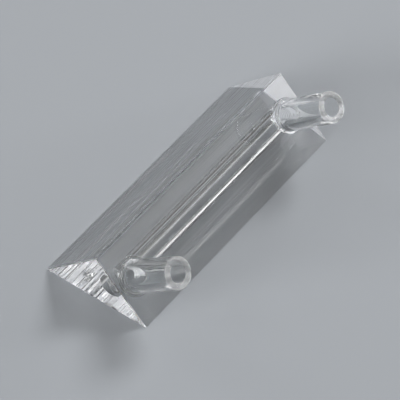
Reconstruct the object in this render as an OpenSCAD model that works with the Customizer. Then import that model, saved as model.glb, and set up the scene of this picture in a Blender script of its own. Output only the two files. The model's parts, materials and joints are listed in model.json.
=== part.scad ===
// Flow-through prism cuvette in clear fused quartz.
//
// A right-angle prism lies on its widest face. One of its two short faces carries two
// tubes, fused on near the ends. Each tube's bore runs on through the glass into a blind
// channel along the prism: liquid enters by one tube, passes the whole length and leaves
// by the other. X runs across the base, Y along the prism from inlet to outlet, Z up.
// The origin is the middle of the base.

/* [Prism] */
// Length from end face to end face
prism_length = 45; // [30:0.5:60]
// Width of each short face, from the top edge down to the base
prism_leg = 12.7; // [12:0.1:16]
// Width of the ground chamfer on every edge, measured on each face it cuts
edge_chamfer = 0.15; // [0.05:0.01:0.4]

/* [Flow channel] */
// Bore of the channel that runs along the prism
channel_d = 3.8; // [2.8:0.1:4.6]
// Depth of the channel's axis below the port face
channel_depth = 2.95; // [2.6:0.05:3.8]
// Distance of the channel's axis from the top edge, measured down the port face
channel_offset = 5.45; // [4.5:0.05:6.5]
// How far the channel runs on past each port towards the end face
channel_overrun = 0.75; // [0:0.05:1.5]

/* [Port tubes] */
// Outer diameter of the tubes
tube_od = 4.8; // [4:0.1:6]
// Bore of the tubes, which goes on into the channel
tube_id = 2.8; // [1.6:0.1:3.4]
// Radius of the fire-polished lip at each mouth
lip_round = 0.3; // [0.1:0.05:0.4]
// How much thicker the tube's wall gets towards its weld, where the glass was softened
foot_flare = 0.1; // [0.05:0.01:0.2]
// Distance from each end face to the port beside it
port_inset = 3.5; // [3.4:0.1:6]

/* [Inlet] */
// Height of the inlet's mouth above the port face, along the tube
inlet_height = 9.9; // [6:0.1:16]
// How far the inlet stands below the channel's line on the port face
inlet_drift = 0.45; // [-0.5:0.05:0.8]
// Lean of the inlet towards the base edge, in degrees
inlet_lean = 5.7; // [0:0.1:8]
// Radius of the weld bead round the inlet's foot
inlet_weld = 0.9; // [0.3:0.05:0.95]

/* [Outlet] */
// Height of the outlet's mouth above the port face, along the tube
outlet_height = 10.3; // [6:0.1:16]
// How far the outlet stands below the channel's line on the port face
outlet_drift = 0.05; // [-0.5:0.05:0.8]
// Lean of the outlet towards the base edge, in degrees
outlet_lean = 2.5; // [0:0.1:8]
// Radius of the weld bead round the outlet's foot
outlet_weld = 0.55; // [0.3:0.05:0.95]

/* [Hidden] */
$fn = 72;

quartz = [0.85, 0.92, 0.95, 0.45];

// The base is the hypotenuse of a right-angle triangle, so each short face slopes at 45.
slope = 45;
base_half = prism_leg * cos(slope);
top_height = prism_leg * sin(slope);

// Cutters run on past the glass by this much, so that no cut ends on a face.
overshoot = prism_leg / 4;

// Each port: place along Y, distance down the port face, lean, height and weld radius.
inlet_y = port_inset - prism_length / 2;
outlet_y = prism_length / 2 - port_inset;
inlet_s = channel_offset + inlet_drift;
outlet_s = channel_offset + outlet_drift;

// The channel reaches past both ports by the overrun.
channel_length = outlet_y - inlet_y + 2 * channel_overrun;

// A weld bead stops short of the end face's chamfer.
weld_room = port_inset - edge_chamfer - tube_od / 2;

// Frame of the port face: X down the face from the top edge, Y along the prism, Z out of
// the glass.
module on_port_face() {
    translate([0, 0, top_height]) rotate([0, slope, 0]) children();
}

// Axis of one port: Z runs up the tube from the point where it meets the port face.
module along_port(y, s, lean) {
    on_port_face() translate([s, y, 0]) rotate([0, lean, 0]) children();
}

// Triangular bar with its three long edges ground off.
module chamfered_bar() {
    cut = edge_chamfer;
    cut_slope = cut * cos(slope);
    rotate([90, 0, 0])
        linear_extrude(height = prism_length, center = true)
            polygon([
                [cut_slope, top_height - cut_slope],
                [-cut_slope, top_height - cut_slope],
                [cut_slope - base_half, cut_slope],
                [cut - base_half, 0],
                [base_half - cut, 0],
                [base_half - cut_slope, cut_slope],
            ]);
}

// Wedge that grinds off the edge between an end face and a long face. Z leaves the long
// face, and the edge runs along X.
module end_edge_cutter(end) {
    reach = 2 * base_half;
    translate([0, end * prism_length / 2, 0])
        rotate([-end * slope, 0, 0])
            translate([-reach, -overshoot, -edge_chamfer * sin(slope)])
                cube([2 * reach, 2 * overshoot, overshoot]);
}

module prism_block() {
    difference() {
        chamfered_bar();
        for (end = [-1, 1]) {
            rotate([0, 180, 0]) end_edge_cutter(end);
            for (side = [-1, 1])
                translate([0, 0, top_height])
                    rotate([0, side * slope, 0])
                        end_edge_cutter(end);
        }
    }
}

// Blind channel along the prism, under the port face.
module channel() {
    on_port_face()
        translate([channel_offset, 0, -channel_depth])
            rotate([90, 0, 0])
                cylinder(d = channel_d, h = channel_length, center = true);
}

// Everything that is open in a port, from the channel's axis to the rounded mouth. The
// flare at the top leaves the inner half of the lip.
module port_void(lean, height) {
    bore_r = tube_id / 2;
    depth = channel_depth / cos(lean);
    rotate_extrude()
        union() {
            translate([0, -depth]) square([bore_r, depth + height + overshoot]);
            difference() {
                translate([0, height - lip_round]) square([bore_r + lip_round, lip_round + overshoot]);
                translate([bore_r + lip_round, height - lip_round]) circle(lip_round);
            }
        }
}

// Outside of a tube, with the outer half of its lip and a slight flare at the foot. The
// plain wall that tubing is pushed over ends where the flare begins, at flare_top. It
// starts below the port face, so that the face can trim its foot.
module tube_outside(height, flare_top) {
    tube_r = tube_od / 2;
    flare_r = (pow(flare_top, 2) + pow(foot_flare, 2)) / (2 * foot_flare);
    rotate_extrude()
        union() {
            translate([0, -overshoot]) square([tube_r, height - lip_round + overshoot]);
            difference() {
                translate([0, -overshoot]) square([tube_r + foot_flare, flare_top + overshoot]);
                translate([tube_r + flare_r, flare_top]) circle(flare_r);
            }
            translate([0, -overshoot]) square([tube_r - lip_round, height + overshoot]);
            translate([tube_r - lip_round, height - lip_round]) intersection() {
                circle(lip_round);
                square(lip_round);
            }
        }
}

// Bead of glass drawn up round the foot. It is square to the port face, and its top edge
// lies far enough inside the leaning tube to meet it without a ledge.
module weld_bead(bead, lean) {
    top_r = tube_od / 2 - bead * tan(lean);
    rotate_extrude()
        difference() {
            square([top_r + bead, bead]);
            translate([top_r + bead, bead]) circle(bead);
        }
}

// A fused tube: leaning outside, trimmed by the port face, with its weld bead and bore.
// Its flare begins level with the bead's highest point.
module port_tube(y, s, lean, height, weld) {
    block = 2 * (height + tube_od);
    bead_height = min(weld, weld_room);
    flare_top = (bead_height + tube_od / 2 * sin(lean)) / cos(lean);
    difference() {
        union() {
            intersection() {
                along_port(y, s, lean) tube_outside(height, flare_top);
                on_port_face() translate([s, y, block / 2]) cube(block, center = true);
            }
            on_port_face() translate([s, y, 0]) weld_bead(bead_height, lean);
        }
        along_port(y, s, lean) port_void(lean, height);
    }
}

module prism_body() {
    color(quartz)
        difference() {
            prism_block();
            channel();
            along_port(inlet_y, inlet_s, inlet_lean) port_void(inlet_lean, inlet_height);
            along_port(outlet_y, outlet_s, outlet_lean) port_void(outlet_lean, outlet_height);
        }
}

module inlet_port() {
    color(quartz) port_tube(inlet_y, inlet_s, inlet_lean, inlet_height, inlet_weld);
}

module outlet_port() {
    color(quartz) port_tube(outlet_y, outlet_s, outlet_lean, outlet_height, outlet_weld);
}

prism_body();
inlet_port();
outlet_port();
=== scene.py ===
"""Looks of the fused-quartz flow cuvette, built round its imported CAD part.

The cell is one piece of clear quartz once its tubes are fused on, so it is modelled as
one closed glass mesh: a chamfered prism, two leaning tubes with their weld beads, and
the channel and bores that join up inside.
"""

import json
import math

import bmesh
import bpy
from mathutils import Euler, Matrix, Vector


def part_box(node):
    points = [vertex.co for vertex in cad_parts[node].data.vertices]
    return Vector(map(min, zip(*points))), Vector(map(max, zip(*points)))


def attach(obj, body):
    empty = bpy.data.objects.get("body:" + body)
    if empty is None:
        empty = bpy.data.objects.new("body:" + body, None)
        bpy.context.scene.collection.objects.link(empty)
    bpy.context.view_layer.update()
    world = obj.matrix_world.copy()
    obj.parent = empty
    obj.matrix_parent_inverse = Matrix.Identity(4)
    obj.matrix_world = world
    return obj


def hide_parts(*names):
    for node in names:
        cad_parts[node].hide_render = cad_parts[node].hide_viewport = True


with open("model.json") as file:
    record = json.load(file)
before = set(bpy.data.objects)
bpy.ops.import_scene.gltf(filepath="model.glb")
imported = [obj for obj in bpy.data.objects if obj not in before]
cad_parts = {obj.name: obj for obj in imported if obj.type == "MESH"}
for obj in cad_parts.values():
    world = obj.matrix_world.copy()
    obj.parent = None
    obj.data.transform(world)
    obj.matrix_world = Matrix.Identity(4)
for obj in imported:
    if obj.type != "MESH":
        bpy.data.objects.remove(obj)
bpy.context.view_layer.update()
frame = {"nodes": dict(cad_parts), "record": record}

MM = 0.001

# Sizes of the cell that no box or mount gives. The channel's axis lies this deep under the
# port face and this far down it from the top edge, and the channel runs this far past the
# middle of each port's foot.
EDGE_CHAMFER = 0.15 * MM
LIP_ROUND = 0.3 * MM
FOOT_FLARE = 0.1 * MM
CHANNEL_RADIUS = 1.9 * MM
CHANNEL_DEPTH = 2.95 * MM
CHANNEL_DOWN = 5.45 * MM
CHANNEL_OVERRUN = 0.75 * MM
WELD_RADIUS = {"inlet": 0.9 * MM, "outlet": 0.55 * MM}

# Waves left where the flame softened the glass: how far apart they are, how far they stand
# out on the bead and on the tube's walls, and how far up the walls they reach.
WAVE_PITCH = 0.5 * MM
BEAD_WAVE = 0.05 * MM
WALL_WAVE = 0.02 * MM
WAVE_REACH = 0.8 * MM

# How far the melted edge of the drilled hole stands into the bore, and half its height.
MELT_SWELL = 0.05 * MM
MELT_HALF = 0.3 * MM

# Points nearer than this are one point, and edges shorter than this are slivers.
MERGE = 0.001 * MM
SLIVER = 0.002 * MM

# Steps round a turned shape, along each of its rounded corners, and to each wave, and the
# angle between two faces above which they meet in a crease.
TURN_STEPS = 160
CORNER_STEPS = 10
WAVE_STEPS = 10
CREASE = math.radians(24)

# How deep the tubes and their beads reach into the prism before they are joined to it.
TUBE_SUNK = 2 * MM
BEAD_SUNK = 0.5 * MM

# Two directions agree when their dot product is above the first of these, and are square to
# each other when it is below the second.
AGREE = 0.999
SQUARE = 0.001

# Order of the finishes on the glass.
POLISHED, SHADE_STREAKED, GROUND, LAPPED, DRILLED, RIM = range(6)
TUBE = {"inlet": 6, "outlet": 7}
WELD = {"inlet": 8, "outlet": 9}
BORE = {"inlet": 10, "outlet": 11}


# ---------------------------------------------------------------- places

prism_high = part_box("prism_body")[1]

# Half the base before its edges are taken off, which is a little more than the box shows.
half_base = prism_high.x + EDGE_CHAMFER * math.cos(math.radians(45))
half_length = prism_high.y

# Frame of the port face: its top edge, the way down it, the way out of the glass, and the
# way along the prism from the inlet to the outlet.
top_edge = Vector((0, 0, half_base))
down = Vector((1, 0, -1)).normalized()
out = Vector((1, 0, 1)).normalized()
along = Vector((0, 1, 0))

# The way out of the back slope.
back_out = Vector((-1, 0, 1)).normalized()

mounts = {m["name"]: m for m in frame["record"]["mounts"]}


class Port:
    """Where one tube stands, and its sizes."""

    def __init__(self, name):
        self.name = name
        tube = mounts[name + "_tube"]
        place = Vector(tube["pos_m"])
        self.axis = Vector(tube["axis"]).normalized()
        self.radius = tube["dims"]["r_mm"] * MM
        self.bore = mounts[name + "_bore"]["dims"]["r_mm"] * MM
        self.foot = place - self.axis * ((place - top_edge).dot(out) / self.axis.dot(out))
        self.lean = self.axis.angle(out)
        self.weld = WELD_RADIUS[name]
        node = frame["nodes"][name + "_port"]
        self.height = max((v.co - self.foot).dot(self.axis) for v in node.data.vertices)


ports = [Port("inlet"), Port("outlet")]


# ---------------------------------------------------------------- shapes

def arc(centre, radius, first, last):
    """Points of an arc in an outline, with its angles in degrees from the radius axis."""
    points = []
    for i in range(CORNER_STEPS + 1):
        a = math.radians(first + (last - first) * i / CORNER_STEPS)
        points.append((centre[0] + radius * math.cos(a), centre[1] + radius * math.sin(a)))
    return points


def wavy_arc(centre, radius, first, last, swing):
    """An arc whose radius waves in and out, still at both ends."""
    length = abs(math.radians(last - first)) * radius
    waves = max(1, round(length / WAVE_PITCH))
    steps = waves * WAVE_STEPS
    points = []
    for i in range(steps + 1):
        a = math.radians(first + (last - first) * i / steps)
        r = radius + swing * math.sin(2 * math.pi * waves * i / steps)
        points.append((centre[0] + r * math.cos(a), centre[1] + r * math.sin(a)))
    return points


def wavy_wall(radius, low, high, swing):
    """A straight wall whose waves die away as it rises from low to high."""
    waves = max(1, round((high - low) / WAVE_PITCH))
    steps = waves * WAVE_STEPS
    points = []
    for i in range(steps + 1):
        fade = 1 - i / steps
        wave = swing * fade * math.sin(2 * math.pi * waves * i / steps)
        points.append((radius + wave, low + (high - low) * i / steps))
    return points


def melted_edge(radius, swell, half):
    """A smooth swelling into a bore, centred on height zero."""
    points = []
    for i in range(2 * WAVE_STEPS + 1):
        height = half * (i / WAVE_STEPS - 1)
        points.append((radius - swell * math.cos(math.pi / 2 * height / half) ** 2, height))
    return points


def put_in_order(bm):
    """Orders edges and faces by their points, because spin leaves their order to chance."""
    bm.verts.index_update()
    for parts in (bm.edges, bm.faces):
        ordered = sorted(parts, key=lambda part: sorted(v.index for v in part.verts))
        for number, part in enumerate(ordered):
            part.index = number
        parts.sort()


def turned(outline):
    """A bmesh turned about Z from an outline of (radius, height) points."""
    bm = bmesh.new()
    corners = [bm.verts.new((radius, 0, height)) for radius, height in outline]
    edges = [bm.edges.new(pair) for pair in zip(corners, corners[1:])]
    bmesh.ops.spin(bm, geom=corners + edges, cent=(0, 0, 0), axis=(0, 0, 1), dvec=(0, 0, 0),
                   angle=2 * math.pi, steps=TURN_STEPS, use_merge=True)
    bmesh.ops.remove_doubles(bm, verts=bm.verts, dist=MERGE)
    bmesh.ops.recalc_face_normals(bm, faces=bm.faces)
    put_in_order(bm)
    return bm


def place_axis(bm, origin, axis):
    """Moves a turned shape so that its Z runs along axis from origin."""
    turn = Vector((0, 0, 1)).rotation_difference(axis).to_matrix().to_4x4()
    bmesh.ops.transform(bm, matrix=Matrix.Translation(origin) @ turn, verts=bm.verts)


def as_object(name, bm):
    """Puts a bmesh in the scene as an object, and frees it."""
    mesh = bpy.data.meshes.new(name)
    bm.to_mesh(mesh)
    bm.free()
    piece = bpy.data.objects.new(name, mesh)
    bpy.context.scene.collection.objects.link(piece)
    return piece


def glass_object(name, bm):
    """An object that holds every finish of the glass, so that joined faces keep theirs."""
    piece = as_object(name, bm)
    for finish in finishes:
        piece.data.materials.append(finish)
    return piece


def combine(body, tool, operation):
    """Joins the tool to the body or cuts it away, and removes what is used up."""
    step = body.modifiers.new("combine", "BOOLEAN")
    step.operation = operation
    step.object = tool
    step.solver = "MANIFOLD"
    depsgraph = bpy.context.evaluated_depsgraph_get()
    mesh = bpy.data.meshes.new_from_object(body.evaluated_get(depsgraph))
    used_up = [body.data, tool.data]
    body.modifiers.clear()
    body.data = mesh
    bpy.data.objects.remove(tool)
    for old in used_up:
        bpy.data.meshes.remove(old)


def prism_finish(face, flats):
    """Finish of one face of the bar, from the directions that its five flats face.

    The long edges are lapped, but the one below the ports is ground like the short edges.
    """
    is_flat = max(face.normal.dot(way) for way in flats) >= AGREE
    if is_flat and face.normal.dot(along) > AGREE:
        return GROUND
    # The back slope carries the grey streaks of painted shade.
    if is_flat and face.normal.dot(back_out) > AGREE:
        return SHADE_STREAKED
    if is_flat:
        return POLISHED
    is_long = abs(face.normal.dot(along)) < SQUARE
    is_below_ports = face.calc_center_median().x > half_base / 2
    if is_long and not is_below_ports:
        return LAPPED
    return GROUND


def prism_block():
    """The right-angle bar with every edge ground off."""
    bm = bmesh.new()
    corners = [(-half_base, 0), (half_base, 0), (0, half_base)]
    end = bm.faces.new([bm.verts.new((x, -half_length, z)) for x, z in corners])
    made = bmesh.ops.extrude_face_region(bm, geom=[end])
    moved = [v for v in made["geom"] if isinstance(v, bmesh.types.BMVert)]
    bmesh.ops.translate(bm, vec=along * 2 * half_length, verts=moved)
    bmesh.ops.recalc_face_normals(bm, faces=bm.faces)
    flats = [f.normal.copy() for f in bm.faces]
    bmesh.ops.bevel(bm, geom=bm.edges[:], offset=EDGE_CHAMFER, offset_type="OFFSET",
                    affect="EDGES", segments=1, profile=0.5, material=-1)
    for face in bm.faces:
        face.material_index = prism_finish(face, flats)
    return glass_object("quartz_cell", bm)


def tube_outside(port):
    """Outside of a tube: flared foot, plain wall and the outer half of the lip."""
    weld_top = (port.weld + port.radius * math.sin(port.lean)) / math.cos(port.lean)
    flare_radius = (weld_top ** 2 + FOOT_FLARE ** 2) / (2 * FOOT_FLARE)
    sweep = math.degrees(math.asin(weld_top / flare_radius))
    outline = [(0, -TUBE_SUNK), (port.radius + FOOT_FLARE, -TUBE_SUNK)]
    outline += arc((port.radius + flare_radius, weld_top), flare_radius, 180 + sweep, 180)
    outline += wavy_wall(port.radius, weld_top, weld_top + WAVE_REACH, WALL_WAVE)[1:]
    outline += arc((port.radius - LIP_ROUND, port.height - LIP_ROUND), LIP_ROUND, 0, 90)
    outline += [(0, port.height)]
    bm = turned(outline)
    for face in bm.faces:
        height = face.calc_center_median().z
        face.material_index = TUBE[port.name]
        if height > port.height - LIP_ROUND:
            face.material_index = RIM
        if height < weld_top + WAVE_REACH:
            face.material_index = WELD[port.name]
    place_axis(bm, port.foot, port.axis)
    return glass_object("tube", bm)


def weld_bead(port):
    """Bead of glass drawn up round the foot, square to the port face."""
    top_radius = port.radius - port.weld * math.tan(port.lean)
    foot_radius = top_radius + port.weld
    outline = [(0, -BEAD_SUNK), (foot_radius, -BEAD_SUNK)]
    outline += wavy_arc((foot_radius, port.weld), port.weld, 270, 180, BEAD_WAVE)
    outline += [(0, port.weld)]
    bm = turned(outline)
    place_axis(bm, port.foot, out)
    for face in bm.faces:
        face.material_index = WELD[port.name]
    return glass_object("bead", bm)


def bore_cutter(port):
    """What is open in a port, from the channel's axis to the rounded mouth."""
    depth = CHANNEL_DEPTH / math.cos(port.lean)
    lip = port.bore + LIP_ROUND
    outline = [(0, -depth), (port.bore, -depth)]
    outline += melted_edge(port.bore, MELT_SWELL, MELT_HALF)
    outline += wavy_wall(port.bore, MELT_HALF, WAVE_REACH, WALL_WAVE)[1:]
    outline += arc((lip, port.height - LIP_ROUND), LIP_ROUND, 180, 90)
    outline += [(lip, port.height + MM), (0, port.height + MM)]
    bm = turned(outline)
    for face in bm.faces:
        height = face.calc_center_median().z
        face.material_index = TUBE[port.name]
        if height > port.height - LIP_ROUND:
            face.material_index = RIM
        if height < WAVE_REACH:
            face.material_index = WELD[port.name]
        if height < -MELT_HALF:
            face.material_index = BORE[port.name]
    place_axis(bm, port.foot, port.axis)
    return glass_object("bore", bm)


def channel_cutter():
    """The blind channel, which runs a little past both ports."""
    start = ports[0].foot.y - CHANNEL_OVERRUN
    length = ports[1].foot.y + CHANNEL_OVERRUN - start
    outline = [(0, 0), (CHANNEL_RADIUS, 0), (CHANNEL_RADIUS, length), (0, length)]
    bm = turned(outline)
    for face in bm.faces:
        face.material_index = DRILLED
    line = top_edge + down * CHANNEL_DOWN - out * CHANNEL_DEPTH
    place_axis(bm, line + along * start, along)
    return glass_object("channel", bm)


def clean(piece):
    """Makes the cell triangles, and dissolves the slivers left where shapes cross."""
    bm = bmesh.new()
    bm.from_mesh(piece.data)
    bmesh.ops.triangulate(bm, faces=bm.faces)
    bmesh.ops.dissolve_degenerate(bm, dist=SLIVER, edges=bm.edges)
    bm.to_mesh(piece.data)
    bm.free()


def shade(piece):
    """Flat shading on the flat faces, smooth on the turned ones, sharp where they cross."""
    for face in piece.data.polygons:
        face.use_smooth = face.material_index > LAPPED
    piece.data.set_sharp_from_angle(angle=CREASE)


def quartz_cell():
    """The whole cell: prism, tubes and beads joined, then hollowed."""
    glass = prism_block()
    for port in ports:
        combine(glass, tube_outside(port), "UNION")
        combine(glass, weld_bead(port), "UNION")
    combine(glass, channel_cutter(), "DIFFERENCE")
    for port in ports:
        combine(glass, bore_cutter(port), "DIFFERENCE")
    glass.data.name = "quartz_cell"
    clean(glass)
    shade(glass)
    return glass


# ---------------------------------------------------------------- materials

def colour(hex_code):
    """An sRGB hex colour as linear values with full alpha."""
    values = [int(hex_code[i:i + 2], 16) / 255 for i in (1, 3, 5)]
    linear = [v / 12.92 if v <= 0.04045 else ((v + 0.055) / 1.055) ** 2.4 for v in values]
    return (*linear, 1)


def add_node(tree, kind, settings=(), links=()):
    """Adds a node, sets its properties and sockets, and links other nodes' outputs in."""
    node = tree.nodes.new(kind)
    for name, value in dict(settings).items():
        if isinstance(name, str) and hasattr(node, name):
            setattr(node, name, value)
        else:
            node.inputs[name].default_value = value
    for name, source in dict(links).items():
        tree.links.new(source, node.inputs[name])
    return node


def new_material(name):
    """An empty node material, and its tree."""
    material = bpy.data.materials.new(name)
    material.use_nodes = True
    material.node_tree.nodes.clear()
    return material, material.node_tree


def measured(tree, size, origin=(0, 0, 0), axis=(0, 0, 1)):
    """Object coordinates counted in steps of a real size, with Z turned along an axis."""
    place = add_node(tree, "ShaderNodeTexCoord")
    turn = Vector((0, 0, 1)).rotation_difference(Vector(axis)).to_euler()
    steps = add_node(tree, "ShaderNodeMapping", {
        "vector_type": "TEXTURE", "Location": origin, "Rotation": turn, "Scale": size},
        {"Vector": place.outputs["Object"]})
    return steps.outputs["Vector"]


def quartz_finish(name, changes, height, depth, skin=0.0):
    """Fused quartz with a relief on it, and a share of skin that scatters light evenly."""
    material, tree = new_material(name)
    bump = add_node(tree, "ShaderNodeBump", {"Distance": depth}, {"Height": height(tree)})
    clear = add_node(tree, "ShaderNodeBsdfPrincipled", {**QUARTZ, **changes},
                     {"Normal": bump.outputs["Normal"]})
    surface = clear.outputs["BSDF"]
    if skin:
        matt = add_node(tree, "ShaderNodeBsdfTranslucent", {"Color": SKIN_COLOUR})
        surface = add_node(tree, "ShaderNodeMixShader", {0: skin}, {
            1: clear.outputs["BSDF"], 2: matt.outputs["BSDF"]}).outputs["Shader"]
    add_node(tree, "ShaderNodeOutputMaterial", links={"Surface": surface})
    return material


# Fused quartz is water-clear and free of colour, and bends light less than window glass.
QUARTZ = {"Base Color": colour("#fdfefe"), "IOR": 1.458, "Transmission Weight": 1.0,
          "Roughness": 0.0}

# Ground quartz looks white with a trace of blue.
SKIN_COLOUR = colour("#f4f5fa")

# Pitch polish leaves long strokes far too shallow to feel: how far apart and how long. They
# are drawn wider apart and deeper than they are, so that they show.
STROKE = (0.5 * MM, 60 * MM, 0.5 * MM)
STROKE_DEPTH = 0.0025 * MM

# Grey streaks of painted shade on the back slope, which darken the light piped along the
# prism so that the near end shows dark streaks: how far apart and how long, where the
# pattern starts, how much of its noise is streak, the share of the light that gets through a
# streak, and its grey.
SHADE_STREAK = (0.6 * MM, 150 * MM, 0.6 * MM)
SHADE_STREAK_PLACE = (3 * MM, 0, 0)
SHADE_STREAK_HALF = 0.05
SHADE_STREAK_CLEAR = 0.3
PAINTED_SHADE_COLOUR = colour("#87868a")

# How high the strokes of the back slope's quick polish stand, and how deep a streak of
# painted shade is cut, as a share of it.
QUICK_STROKE_DEPTH = 0.003 * MM
SHADE_STREAK_DEPTH = 0.5

# Loose grit leaves pits of a few hundredths of a millimetre, drawn larger so that they show.
# Its frost is part clear and part a skin that scatters light evenly.
GRIT = 0.2 * MM
GRIT_DEPTH = 0.006 * MM
GROUND_ROUGHNESS = 0.35
GROUND_SKIN = 0.4

# Edges are taken off by hand on a fine lap, and stay mostly clear. Its scuffs are drawn
# coarser than they are, so that they show.
LAP = 0.08 * MM
LAP_DEPTH = 0.003 * MM
LAPPED_ROUGHNESS = 0.3
LAPPED_SKIN = 0.2

# Tube is drawn from the melt, and keeps fine lines along it: how far apart, and how long.
DRAW = (0.4 * MM, 0.4 * MM, 25 * MM)
DRAW_DEPTH = 0.002 * MM

# A tube's sawn end is only touched by the flame, so it stays mottled and a little milky:
# the last of these is the share of the light that gets through.
MOTTLE = 0.25 * MM
MOTTLE_DEPTH = 0.05 * MM
RIM_ROUGHNESS = 0.2
RIM_CLEAR = 0.8

# Glass that ran in the flame sets in rings round the tube.
RING = 0.45 * MM
RING_DEPTH = 0.025 * MM

# Scale at which a wave texture draws about one ring for each step of its coordinates.
ONE_TO_A_STEP = 0.31

# The channel keeps fine lines along it from its honing, drawn coarser than they are, so
# that they show.
HONE = (0.25 * MM, 90 * MM, 0.25 * MM)
HONE_DEPTH = 0.003 * MM

# It is warped where the ports were welded on above it: how far apart the warps are, how many
# times deeper than the lines, and how far from the middle of a port's foot they end.
WARP = 0.6 * MM
WARP_HEIGHT = 10.0
WARP_REACH = 3.5 * MM

# A diamond core drill leaves rings down the bore of each port, drawn far deeper than they
# are, so that they show through the tube.
BORE_RING = 0.35 * MM
BORE_DEPTH = 0.15 * MM
BORE_ROUGHNESS = 0.2


def polished_quartz():
    """Optical polish: clear, with the last strokes just traceable in a reflection."""
    def strokes(tree):
        return add_node(tree, "ShaderNodeTexNoise", {"Scale": 1.0}, {
            "Vector": measured(tree, STROKE)}).outputs["Fac"]
    return quartz_finish("fused_quartz_polished", {}, strokes, STROKE_DEPTH)


def shade_streaked_quartz():
    """Polished back slope: clear, with grey streaks of painted shade that darken the light piped
    past them.
    """
    material, tree = new_material("fused_quartz_painted_shade_streaks")
    wander = add_node(tree, "ShaderNodeTexNoise", {"Scale": 1.0, "Detail": 1.0}, {
        "Vector": measured(tree, SHADE_STREAK, SHADE_STREAK_PLACE)})
    off = add_node(tree, "ShaderNodeMath", {"operation": "SUBTRACT", 1: 0.5},
                   {0: wander.outputs["Fac"]})
    near = add_node(tree, "ShaderNodeMath", {"operation": "ABSOLUTE"},
                    {0: off.outputs["Value"]})
    line = add_node(tree, "ShaderNodeMapRange", {
        "interpolation_type": "SMOOTHSTEP", "From Max": SHADE_STREAK_HALF, "To Min": 1.0,
        "To Max": 0.0}, {"Value": near.outputs["Value"]}).outputs["Result"]
    strokes = add_node(tree, "ShaderNodeTexNoise", {"Scale": 1.0},
                       {"Vector": measured(tree, STROKE)})
    height = add_node(tree, "ShaderNodeMath", {
        "operation": "MULTIPLY_ADD", 1: -SHADE_STREAK_DEPTH}, {0: line, 2: strokes.outputs["Fac"]})
    bump = add_node(tree, "ShaderNodeBump", {"Distance": QUICK_STROKE_DEPTH},
                    {"Height": height.outputs["Value"]})
    # The grey of the streaks, and the light that they hold back, are painted shade.
    tint = add_node(tree, "ShaderNodeMix", {
        "data_type": "RGBA", 6: QUARTZ["Base Color"], 7: PAINTED_SHADE_COLOUR}, {0: line})
    through = add_node(tree, "ShaderNodeMapRange", {"To Min": 1.0, "To Max": SHADE_STREAK_CLEAR},
                       {"Value": line})
    glass = add_node(tree, "ShaderNodeBsdfPrincipled", QUARTZ, {
        "Base Color": tint.outputs[2], "Transmission Weight": through.outputs["Result"],
        "Normal": bump.outputs["Normal"]})
    add_node(tree, "ShaderNodeOutputMaterial", links={"Surface": glass.outputs["BSDF"]})
    return material


def ground_quartz():
    """Fine grinding: an even frost that glows with the light behind it."""
    def pits(tree):
        return add_node(tree, "ShaderNodeTexNoise", {"Scale": 1.0, "Detail": 4.0}, {
            "Vector": measured(tree, (GRIT,) * 3)}).outputs["Fac"]
    return quartz_finish("fused_quartz_fine_ground", {"Roughness": GROUND_ROUGHNESS}, pits,
                         GRIT_DEPTH, GROUND_SKIN)


def lapped_quartz():
    """Edges broken on a lap: a faint line of frost."""
    def scuffs(tree):
        return add_node(tree, "ShaderNodeTexNoise", {"Scale": 1.0}, {
            "Vector": measured(tree, (LAP,) * 3)}).outputs["Fac"]
    return quartz_finish("fused_quartz_lapped_edge", {"Roughness": LAPPED_ROUGHNESS}, scuffs,
                         LAP_DEPTH, LAPPED_SKIN)


def drawn_quartz(port):
    """Drawn tube: fire-bright, with faint lines along it."""
    def lines(tree):
        return add_node(tree, "ShaderNodeTexNoise", {"Scale": 1.0}, {
            "Vector": measured(tree, DRAW, port.foot, port.axis)}).outputs["Fac"]
    return quartz_finish("fused_quartz_tube_" + port.name, {}, lines, DRAW_DEPTH)


def rim_quartz():
    """Sawn and flame-glazed tube ends: milky, with a broken sparkle."""
    def mottle(tree):
        return add_node(tree, "ShaderNodeTexNoise", {"Scale": 1.0}, {
            "Vector": measured(tree, (MOTTLE,) * 3)}).outputs["Fac"]
    return quartz_finish("fused_quartz_rim", {
        "Roughness": RIM_ROUGHNESS, "Transmission Weight": RIM_CLEAR}, mottle, MOTTLE_DEPTH)


def weld_quartz(port):
    """Flame-welded glass: bright, with soft rings that catch the lamps as arcs."""
    def rings(tree):
        return add_node(tree, "ShaderNodeTexWave", {
            "wave_type": "RINGS", "rings_direction": "Z", "Scale": ONE_TO_A_STEP,
            "Distortion": 1.0, "Detail": 1.0},
            {"Vector": measured(tree, (RING,) * 3, port.foot, out)}).outputs["Fac"]
    return quartz_finish("fused_quartz_weld_" + port.name, {}, rings, RING_DEPTH)


def drilled_quartz():
    """Drilled and honed channel: clear, lined along its length, uneven under the welds."""
    def lines(tree):
        place = add_node(tree, "ShaderNodeTexCoord").outputs["Object"]
        height = add_node(tree, "ShaderNodeTexNoise", {"Scale": 1.0}, {
            "Vector": measured(tree, HONE)}).outputs["Fac"]
        warp = add_node(tree, "ShaderNodeTexNoise", {"Scale": 1.0}, {
            "Vector": measured(tree, (WARP,) * 3)}).outputs["Fac"]
        for port in ports:
            away = add_node(tree, "ShaderNodeVectorMath", {
                "operation": "DISTANCE", 1: port.foot}, {0: place}).outputs["Value"]
            share = add_node(tree, "ShaderNodeMapRange", {
                "interpolation_type": "SMOOTHSTEP", "From Min": WARP_REACH / 2,
                "From Max": WARP_REACH, "To Min": WARP_HEIGHT, "To Max": 0.0},
                {"Value": away}).outputs["Result"]
            height = add_node(tree, "ShaderNodeMath", {"operation": "MULTIPLY_ADD"}, {
                0: warp, 1: share, 2: height}).outputs["Value"]
        return height
    return quartz_finish("fused_quartz_honed", {}, lines, HONE_DEPTH)


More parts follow.
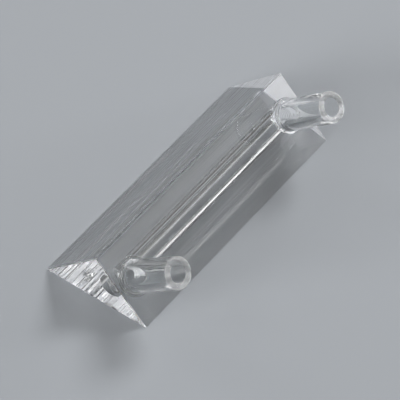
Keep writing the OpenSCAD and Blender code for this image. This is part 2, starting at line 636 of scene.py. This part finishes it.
def bored_quartz(port):
    """Port bored with a diamond core drill: rings round the bore, lightly flame-glazed."""
    def rings(tree):
        return add_node(tree, "ShaderNodeTexWave", {
            "bands_direction": "Z", "Scale": ONE_TO_A_STEP, "Distortion": 5.0, "Detail": 2.0},
            {"Vector": measured(tree, (BORE_RING,) * 3, port.foot, port.axis)}).outputs["Fac"]
    return quartz_finish("fused_quartz_bore_" + port.name, {"Roughness": BORE_ROUGHNESS},
                         rings, BORE_DEPTH)


# ---------------------------------------------------------------- camera and studio

# The camera's film and focal length in millimetres, and the nearest and furthest that it
# sees in metres.
FILM_WIDTH = 36
FOCAL_LENGTH = 287.9
NEAR = 0.02
FAR = 20

# Where the camera stands, and its right, up and back directions, in the part's frame.
CAMERA_PLACE = Vector((173.498, -250.811, 354.184)) * MM
CAMERA_RIGHT = Vector((0.80743444, 0.58937365, 0.02623618))
CAMERA_UP = Vector((-0.46028938, 0.60152579, 0.65291685))
CAMERA_BACK = Vector((0.36903024, -0.53926378, 0.75697507))

# The card that the cell lies on: half its side in metres, the gap under the base so that the
# two don't touch, its grey, and its finish. Clear glass reads better on it than on white.
CARD_HALF = 2.0
CARD_GAP = 0.02 * MM
CARD_COLOUR = colour("#a9adb2")
CARD_ROUGHNESS = 0.9

# Brightness of the room's walls and of its ceiling, and the sines of the elevations
# between which one fades into the other.
WALL = 0.3
CEILING = 0.15
WALL_TOP = 0.08
CEILING_EDGE = 0.25

# Round soft lamps: azimuth, elevation and half-angle in degrees as the cell sees them, and
# brightness. All hang at the same distance, in metres.
LAMPS = [
    (80, 43, 10, 17),
    (53, 7.5, 7, 13),
    (73, 14, 10, 4),
    (48, 51, 10, 3.2),
    (-117, 10.5, 10, 15),
    (-97, 19, 10, 7.6),
    (-110, 36, 10, 3.5),
    (178, 21, 10, 2),
    (165, 39, 10, 1),
    (-142, 44, 10, 1.7),
    (-90, 50, 10, 1.1),
    (133, 48, 10, 0.5),
    (40, 20, 10, 1),
]
LAMP_DISTANCE = 1.2

# How many times light may turn on its way, and how many of those may be mirror reflections.
# Light is piped along the prism, and turns many times before it comes out of an end.
GLASS_BOUNCES = 32
MIRROR_BOUNCES = 16


def make_camera():
    """A long lens that looks down on the port face from the inlet's side."""
    lens = bpy.data.cameras.new("camera")
    lens.sensor_width = FILM_WIDTH
    lens.lens = FOCAL_LENGTH
    lens.clip_start = NEAR
    lens.clip_end = FAR
    camera = bpy.data.objects.new("camera", lens)
    turn = Matrix((CAMERA_RIGHT, CAMERA_UP, CAMERA_BACK)).transposed().to_4x4()
    camera.matrix_world = Matrix.Translation(CAMERA_PLACE) @ turn
    bpy.context.scene.collection.objects.link(camera)
    bpy.context.scene.camera = camera


def make_floor():
    """A wide sheet of pale matt card, just under the cell."""
    bm = bmesh.new()
    bmesh.ops.create_grid(bm, x_segments=1, y_segments=1, size=CARD_HALF)
    bmesh.ops.translate(bm, vec=(0, 0, -CARD_GAP), verts=bm.verts)
    floor = as_object("floor", bm)
    material, tree = new_material("matt_card")
    card = add_node(tree, "ShaderNodeBsdfPrincipled", {
        "Base Color": CARD_COLOUR, "Roughness": CARD_ROUGHNESS})
    add_node(tree, "ShaderNodeOutputMaterial", links={"Surface": card.outputs["BSDF"]})
    floor.data.materials.append(material)


def make_world():
    """Plain pale walls under a darker ceiling."""
    world = bpy.data.worlds.new("studio")
    bpy.context.scene.world = world
    world.use_nodes = True
    tree = world.node_tree
    tree.nodes.clear()
    place = add_node(tree, "ShaderNodeTexCoord")
    parts = add_node(tree, "ShaderNodeSeparateXYZ", links={"Vector": place.outputs["Generated"]})
    room = add_node(tree, "ShaderNodeMapRange", {
        "interpolation_type": "SMOOTHSTEP", "From Min": WALL_TOP, "From Max": CEILING_EDGE,
        "To Min": WALL, "To Max": CEILING}, {"Value": parts.outputs["Z"]})
    light = add_node(tree, "ShaderNodeBackground",
                     links={"Strength": room.outputs["Result"]})
    add_node(tree, "ShaderNodeOutputWorld", links={"Surface": light.outputs["Background"]})


def make_lamps():
    """Disk lamps that face the middle of the base."""
    for number, (azimuth, elevation, half_angle, brightness) in enumerate(LAMPS):
        lamp = bpy.data.lights.new(f"lamp_{number}", "AREA")
        lamp.shape = "DISK"
        radius = LAMP_DISTANCE * math.tan(math.radians(half_angle))
        area = math.pi * radius ** 2
        lamp.size = 2 * radius
        lamp.energy = brightness * math.pi * area
        place = Vector((LAMP_DISTANCE, 0, 0))
        place.rotate(Euler((0, -math.radians(elevation), math.radians(azimuth))))
        holder = bpy.data.objects.new(lamp.name, lamp)
        holder.location = place
        holder.rotation_euler = (-place).to_track_quat("-Z", "Y").to_euler()
        holder.visible_camera = False
        bpy.context.scene.collection.objects.link(holder)


# ---------------------------------------------------------------- scene

make_camera()
make_floor()
make_world()
make_lamps()

finishes = [polished_quartz(), shade_streaked_quartz(), ground_quartz(), lapped_quartz()]
finishes += [drilled_quartz(), rim_quartz()]
finishes += [drawn_quartz(port) for port in ports] + [weld_quartz(port) for port in ports]
finishes += [bored_quartz(port) for port in ports]
cell = quartz_cell()
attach(cell, "root")
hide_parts("prism_body", "inlet_port", "outlet_port")

light_paths = bpy.context.scene.cycles
light_paths.max_bounces = GLASS_BOUNCES
light_paths.transmission_bounces = GLASS_BOUNCES
light_paths.glossy_bounces = MIRROR_BOUNCES

bpy.context.scene.view_settings.view_transform = "Standard"
